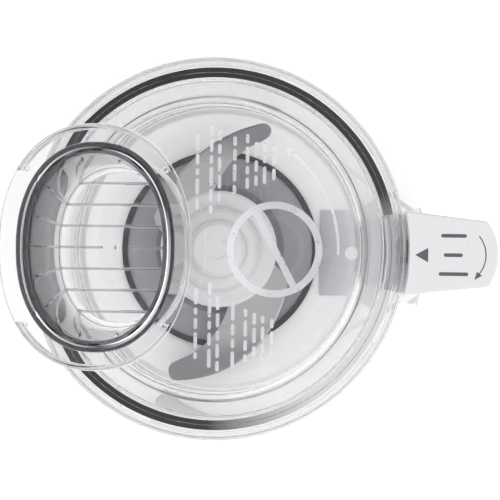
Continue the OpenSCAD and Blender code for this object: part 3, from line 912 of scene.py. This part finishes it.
KEEP = {
    "foot_ring": ("rubber", 0.8), "base_plate": ("inner_white", 0.4), "base_screws": ("zinc", 0.2), "seat_gasket": ("rubber", 0.5),
    # seat_plate's colour has painted shade inside its step; interlock_cover's has painted shade towards the hub
    "seat_plate": ("seat", 0.35), "interlock_cover": ("grey_light", 0.3), "stator_core": ("lamination", 0.3), "stator_windings": ("copper", 0.8),
    "lower_bracket": ("alloy", 0.5), "upper_bracket": ("alloy", 0.5), "through_bolts": ("zinc", 0.3), "motor_mounts": ("rubber", 0.4),
    "mount_screws": ("zinc", 0.2), "shaft_bearings": ("bright", 0.4), "shaft_seal": ("rubber", 0.3), "run_capacitor": ("dark", 0.6),
    "control_board": ("board", 0.2), "safety_switch": ("dark", 0.4), "strain_relief": ("rubber", 0.4), "switch_plunger": ("rod", 0.4),
    "drive_spindle": ("bright", 0.5), "rotor_core": ("lamination", 0.3), "rotor_cage": ("alloy", 0.3), "cooling_fan": ("dark", 0.2),
    "drive_coupling": ("bright", 0.4), "handle_screws": ("zinc", 0.2), "interlock_rod": ("rod", 0.4), "rod_spring": ("bright", 0.0),
    "hub_insert": ("grey", 0.3),
}
for node, (key, w) in KEEP.items():
    o = paint(node, key)
    if node == "rod_spring":
        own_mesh(o)
    if w:
        bevel(o, w, 2, 40)
        m = o.modifiers.new("wn", "WEIGHTED_NORMAL")
        m.keep_sharp = True

# ------------------------------------------------------------------ stage
def make_floor():
    o = lathe("floor", [(0, -2.0), (1500, -2.0), (1500, 0.0), (0, 0.0)], 96)
    m, nt, p = nodes_of("pale_floor")
    nt.links.new(ramp(nt, noise(nt, 3, 2), [(0.3, (0.87, 0.87, 0.87)), (0.7, (0.89, 0.89, 0.89))]), p.inputs["Base Color"])
    p.inputs["Roughness"].default_value = 0.9
    p.inputs["Specular IOR Level"].default_value = 0.1
    o.data.materials.append(m)


make_floor()


def make_world():
    w = bpy.data.worlds.new("studio")
    bpy.context.scene.world = w
    w.use_nodes = True
    nt = w.node_tree
    nt.nodes.clear()
    out = nt.nodes.new("ShaderNodeOutputWorld")
    bg = nt.nodes.new("ShaderNodeBackground")
    cam = nt.nodes.new("ShaderNodeBackground")
    cam.inputs["Color"].default_value = (1, 1, 1, 1)
    cam.inputs["Strength"].default_value = 1.15
    lp = nt.nodes.new("ShaderNodeLightPath")
    mix = nt.nodes.new("ShaderNodeMixShader")
    tc = nt.nodes.new("ShaderNodeTexCoord")
    sp = nt.nodes.new("ShaderNodeSeparateXYZ")
    nt.links.new(tc.outputs["Generated"], sp.inputs["Vector"])
    # brightness by elevation: pale below, a dark band at the horizon, a wide bright ring, a dimmer ceiling
    asin = nt.nodes.new("ShaderNodeMath")
    asin.operation = "ARCSINE"
    nt.links.new(sp.outputs["Z"], asin.inputs[0])
    mr = nt.nodes.new("ShaderNodeMapRange")
    mr.inputs["From Min"].default_value, mr.inputs["From Max"].default_value = -math.pi / 2, math.pi / 2
    nt.links.new(asin.outputs[0], mr.inputs["Value"])
    stops = [(-90, 0.9), (-9, 0.9), (-4, 0.02), (10, 0.02), (18, 0.1), (30, 0.95), (64, 1.0), (74, 0.55), (82, 0.2), (90, 0.16)]
    up = ramp(nt, mr.outputs["Result"], [((el + 90) / 180, (v, v, v * 1.01)) for el, v in stops])
    # the side towards +X and -Y is brighter
    side = nt.nodes.new("ShaderNodeVectorMath")
    side.operation = "DOT_PRODUCT"
    side.inputs[1].default_value = (0.8, -0.6, 0)
    nt.links.new(tc.outputs["Generated"], side.inputs[0])
    gain = remap(nt, side.outputs["Value"], 0.72, 1.15, -0.8, 0.8)
    mul = nt.nodes.new("ShaderNodeMix")
    mul.data_type, mul.blend_type = "RGBA", "MULTIPLY"
    mul.inputs["Factor"].default_value = 1.0
    nt.links.new(up, mul.inputs["A"])
    nt.links.new(gain, mul.inputs["B"])
    # a low pale card on that side lightens the rim there
    low = remap(nt, side.outputs["Value"], 0.0, 0.42, 0.55, 0.95)
    add = nt.nodes.new("ShaderNodeMix")
    add.data_type, add.blend_type = "RGBA", "ADD"
    add.inputs["Factor"].default_value = 1.0
    nt.links.new(mul.outputs["Result"], add.inputs["A"])
    nt.links.new(low, add.inputs["B"])
    nt.links.new(add.outputs["Result"], bg.inputs["Color"])
    bg.inputs["Strength"].default_value = 1.9
    nt.links.new(lp.outputs["Is Camera Ray"], mix.inputs["Fac"])
    nt.links.new(bg.outputs["Background"], mix.inputs[1])
    nt.links.new(cam.outputs["Background"], mix.inputs[2])
    nt.links.new(mix.outputs["Shader"], out.inputs["Surface"])


make_world()

sc = bpy.context.scene
sc.view_settings.view_transform = "Standard"
sc.view_settings.look = "None"
sc.cycles.blur_glossy = 0.0
sc.cycles.max_bounces, sc.cycles.transmission_bounces, sc.cycles.glossy_bounces, sc.cycles.diffuse_bounces = 24, 24, 8, 4

# ------------------------------------------------------------------ camera
cam_data = bpy.data.cameras.new("camera")
cam_data.sensor_width = 36.0
D = 680.0
SCALE = 1.9075
cam_data.lens = SCALE * D * 36.0 / 500.0
cam = bpy.data.objects.new("camera", cam_data)
sc.collection.objects.link(cam)
cam.location = (18.32 * MM, -0.38 * MM, (231.0 + D) * MM)
cam.rotation_euler = (0, 0, math.radians(0.75))
cam_data.clip_start, cam_data.clip_end = 0.05, 20
sc.camera = cam
